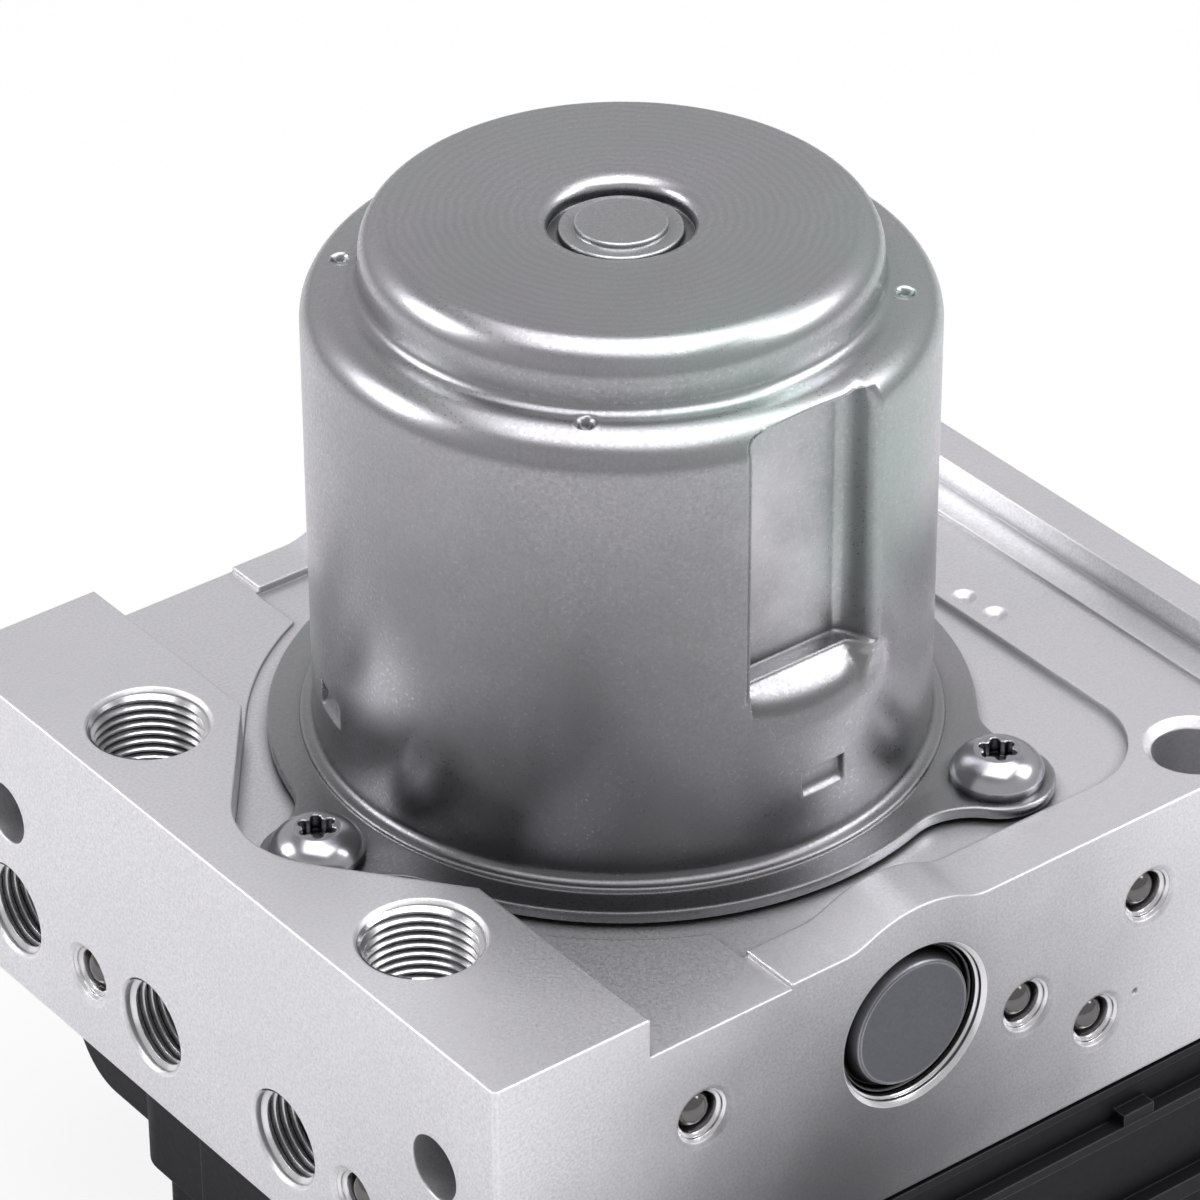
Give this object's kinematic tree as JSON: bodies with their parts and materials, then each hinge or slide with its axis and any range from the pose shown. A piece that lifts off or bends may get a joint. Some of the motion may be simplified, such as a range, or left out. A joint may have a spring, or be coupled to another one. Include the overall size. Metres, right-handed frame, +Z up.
{
  "type": "abs brake module",
  "caption": "ABS hydraulic control module: machined valve block with tube ports, pump motor can on top and flat electronic control unit below.",
  "frame": {"origin": "on the motor axis, in the plane of the control unit's flat cover", "axes": "+Z up along the motor axis, -X towards the face with the wheel ports, -Y towards the front pump"},
  "size_m": [0.1304, 0.0929, 0.1158],
  "materials": {
    "block_aluminium": "machined satin",
    "can_steel": "drawn satin steel",
    "screw_steel": "bright zinc plated",
    "ball_steel": "polished",
    "dark_steel": "dark phosphated",
    "bearing_steel": "ground",
    "spring_steel": "drawn wire",
    "core_steel": "stamped sheets",
    "ferrite": "ground ferrite",
    "copper": "enamelled wire",
    "contact_brass": "tin plated brass",
    "carbon": "pressed carbon",
    "housing_plastic": "moulded, fine texture",
    "holder_plastic": "moulded",
    "seal_rubber": "matte",
    "board_laminate": "solder mask",
    "component_resin": "moulded resin"
  },
  "bodies": {
    "hydraulic_unit": {"valve_block": "block_aluminium", "sealing_balls": "ball_steel", "motor_gasket": "seal_rubber", "motor_can": "can_steel", "motor_screws": "screw_steel", "front_bearing": "bearing_steel", "field_magnets": "ferrite", "rear_bush": "contact_brass", "brush_holder": "holder_plastic", "brushes": "carbon", "brush_springs": "spring_steel", "motor_plug": "holder_plastic", "motor_blades": "contact_brass", "pump_cap_front": "dark_steel", "pump_cap_back": "dark_steel", "pump_sleeve_front": "bearing_steel", "pump_sleeve_back": "bearing_steel", "pump_spring_front": "spring_steel", "pump_spring_back": "spring_steel", "accumulator_cap_front": "dark_steel", "accumulator_cap_back": "dark_steel", "accumulator_spring_front": "spring_steel", "accumulator_spring_back": "spring_steel", "inlet_valves": "bearing_steel", "outlet_valves": "bearing_steel", "coils": "copper", "coil_yokes": "core_steel", "unit_housing": "housing_plastic", "unit_seal": "seal_rubber", "unit_cover": "housing_plastic", "circuit_board": "board_laminate", "board_parts": "component_resin", "connector_pins": "contact_brass", "unit_screws": "screw_steel"},
    "rotor": {"rotor_shaft": "bearing_steel", "eccentric_needles": "bearing_steel", "front_bearing_inner": "bearing_steel", "armature_core": "core_steel", "armature_winding": "copper", "commutator": "copper"},
    "drive_ring": {"eccentric_ring": "bearing_steel"},
    "pump_piston_front": {"pump_piston_front": "bearing_steel"},
    "accumulator_piston_front": {"accumulator_piston_front": "block_aluminium"},
    "pump_piston_back": {"pump_piston_back": "bearing_steel"},
    "accumulator_piston_back": {"accumulator_piston_back": "block_aluminium"},
    "inlet_plunger_1": {"inlet_plunger_1": "core_steel"},
    "inlet_plunger_2": {"inlet_plunger_2": "core_steel"},
    "inlet_plunger_3": {"inlet_plunger_3": "core_steel"},
    "inlet_plunger_4": {"inlet_plunger_4": "core_steel"},
    "outlet_plunger_1": {"outlet_plunger_1": "core_steel"},
    "outlet_plunger_2": {"outlet_plunger_2": "core_steel"},
    "outlet_plunger_3": {"outlet_plunger_3": "core_steel"},
    "outlet_plunger_4": {"outlet_plunger_4": "core_steel"}
  },
  "joints": [
    {"name": "rotor_spin", "type": "hinge", "parent": "hydraulic_unit", "child": "rotor", "pos_m": [0, 0, 0.055], "axis": [0, 0, 1], "continuous": true},
    {"name": "ring_roll", "type": "hinge", "parent": "rotor", "child": "drive_ring", "pos_m": [0.001, 0, 0.04715], "axis": [0, 0, 1], "continuous": true},
    {"name": "pump_front_stroke", "type": "slide", "parent": "hydraulic_unit", "child": "pump_piston_front", "axis": [0, -1, 0], "range_m": [0, 0.002], "stiffness_N_per_m": 1500, "springref_m": -0.002, "deforming": ["pump_spring_front"]},
    {"name": "pump_back_stroke", "type": "slide", "parent": "hydraulic_unit", "child": "pump_piston_back", "axis": [0, 1, 0], "range_m": [0, 0.002], "stiffness_N_per_m": 1500, "springref_m": -0.002, "deforming": ["pump_spring_back"]},
    {"name": "accumulator_front_stroke", "type": "slide", "parent": "hydraulic_unit", "child": "accumulator_piston_front", "axis": [0, 0, -1], "range_m": [0, 0.006], "stiffness_N_per_m": 700, "springref_m": -0.003, "deforming": ["accumulator_spring_front"]},
    {"name": "accumulator_back_stroke", "type": "slide", "parent": "hydraulic_unit", "child": "accumulator_piston_back", "axis": [0, 0, -1], "range_m": [0, 0.006], "stiffness_N_per_m": 700, "springref_m": -0.003, "deforming": ["accumulator_spring_back"]},
    {"name": "inlet_1_lift", "type": "slide", "parent": "hydraulic_unit", "child": "inlet_plunger_1", "axis": [0, 0, 1], "range_m": [0, 0.00025], "stiffness_N_per_m": 800, "springref_m": -0.001},
    {"name": "inlet_2_lift", "type": "slide", "parent": "hydraulic_unit", "child": "inlet_plunger_2", "axis": [0, 0, 1], "range_m": [0, 0.00025], "stiffness_N_per_m": 800, "springref_m": -0.001},
    {"name": "inlet_3_lift", "type": "slide", "parent": "hydraulic_unit", "child": "inlet_plunger_3", "axis": [0, 0, 1], "range_m": [0, 0.00025], "stiffness_N_per_m": 800, "springref_m": -0.001},
    {"name": "inlet_4_lift", "type": "slide", "parent": "hydraulic_unit", "child": "inlet_plunger_4", "axis": [0, 0, 1], "range_m": [0, 0.00025], "stiffness_N_per_m": 800, "springref_m": -0.001},
    {"name": "outlet_1_lift", "type": "slide", "parent": "hydraulic_unit", "child": "outlet_plunger_1", "axis": [0, 0, -1], "range_m": [0, 0.00025], "stiffness_N_per_m": 800, "springref_m": -0.001},
    {"name": "outlet_2_lift", "type": "slide", "parent": "hydraulic_unit", "child": "outlet_plunger_2", "axis": [0, 0, -1], "range_m": [0, 0.00025], "stiffness_N_per_m": 800, "springref_m": -0.001},
    {"name": "outlet_3_lift", "type": "slide", "parent": "hydraulic_unit", "child": "outlet_plunger_3", "axis": [0, 0, -1], "range_m": [0, 0.00025], "stiffness_N_per_m": 800, "springref_m": -0.001},
    {"name": "outlet_4_lift", "type": "slide", "parent": "hydraulic_unit", "child": "outlet_plunger_4", "axis": [0, 0, -1], "range_m": [0, 0.00025], "stiffness_N_per_m": 800, "springref_m": -0.001}
  ],
  "couplings": [
    {"joint": "ring_roll", "follows": "rotor_spin", "ratio": -1}
  ]
}
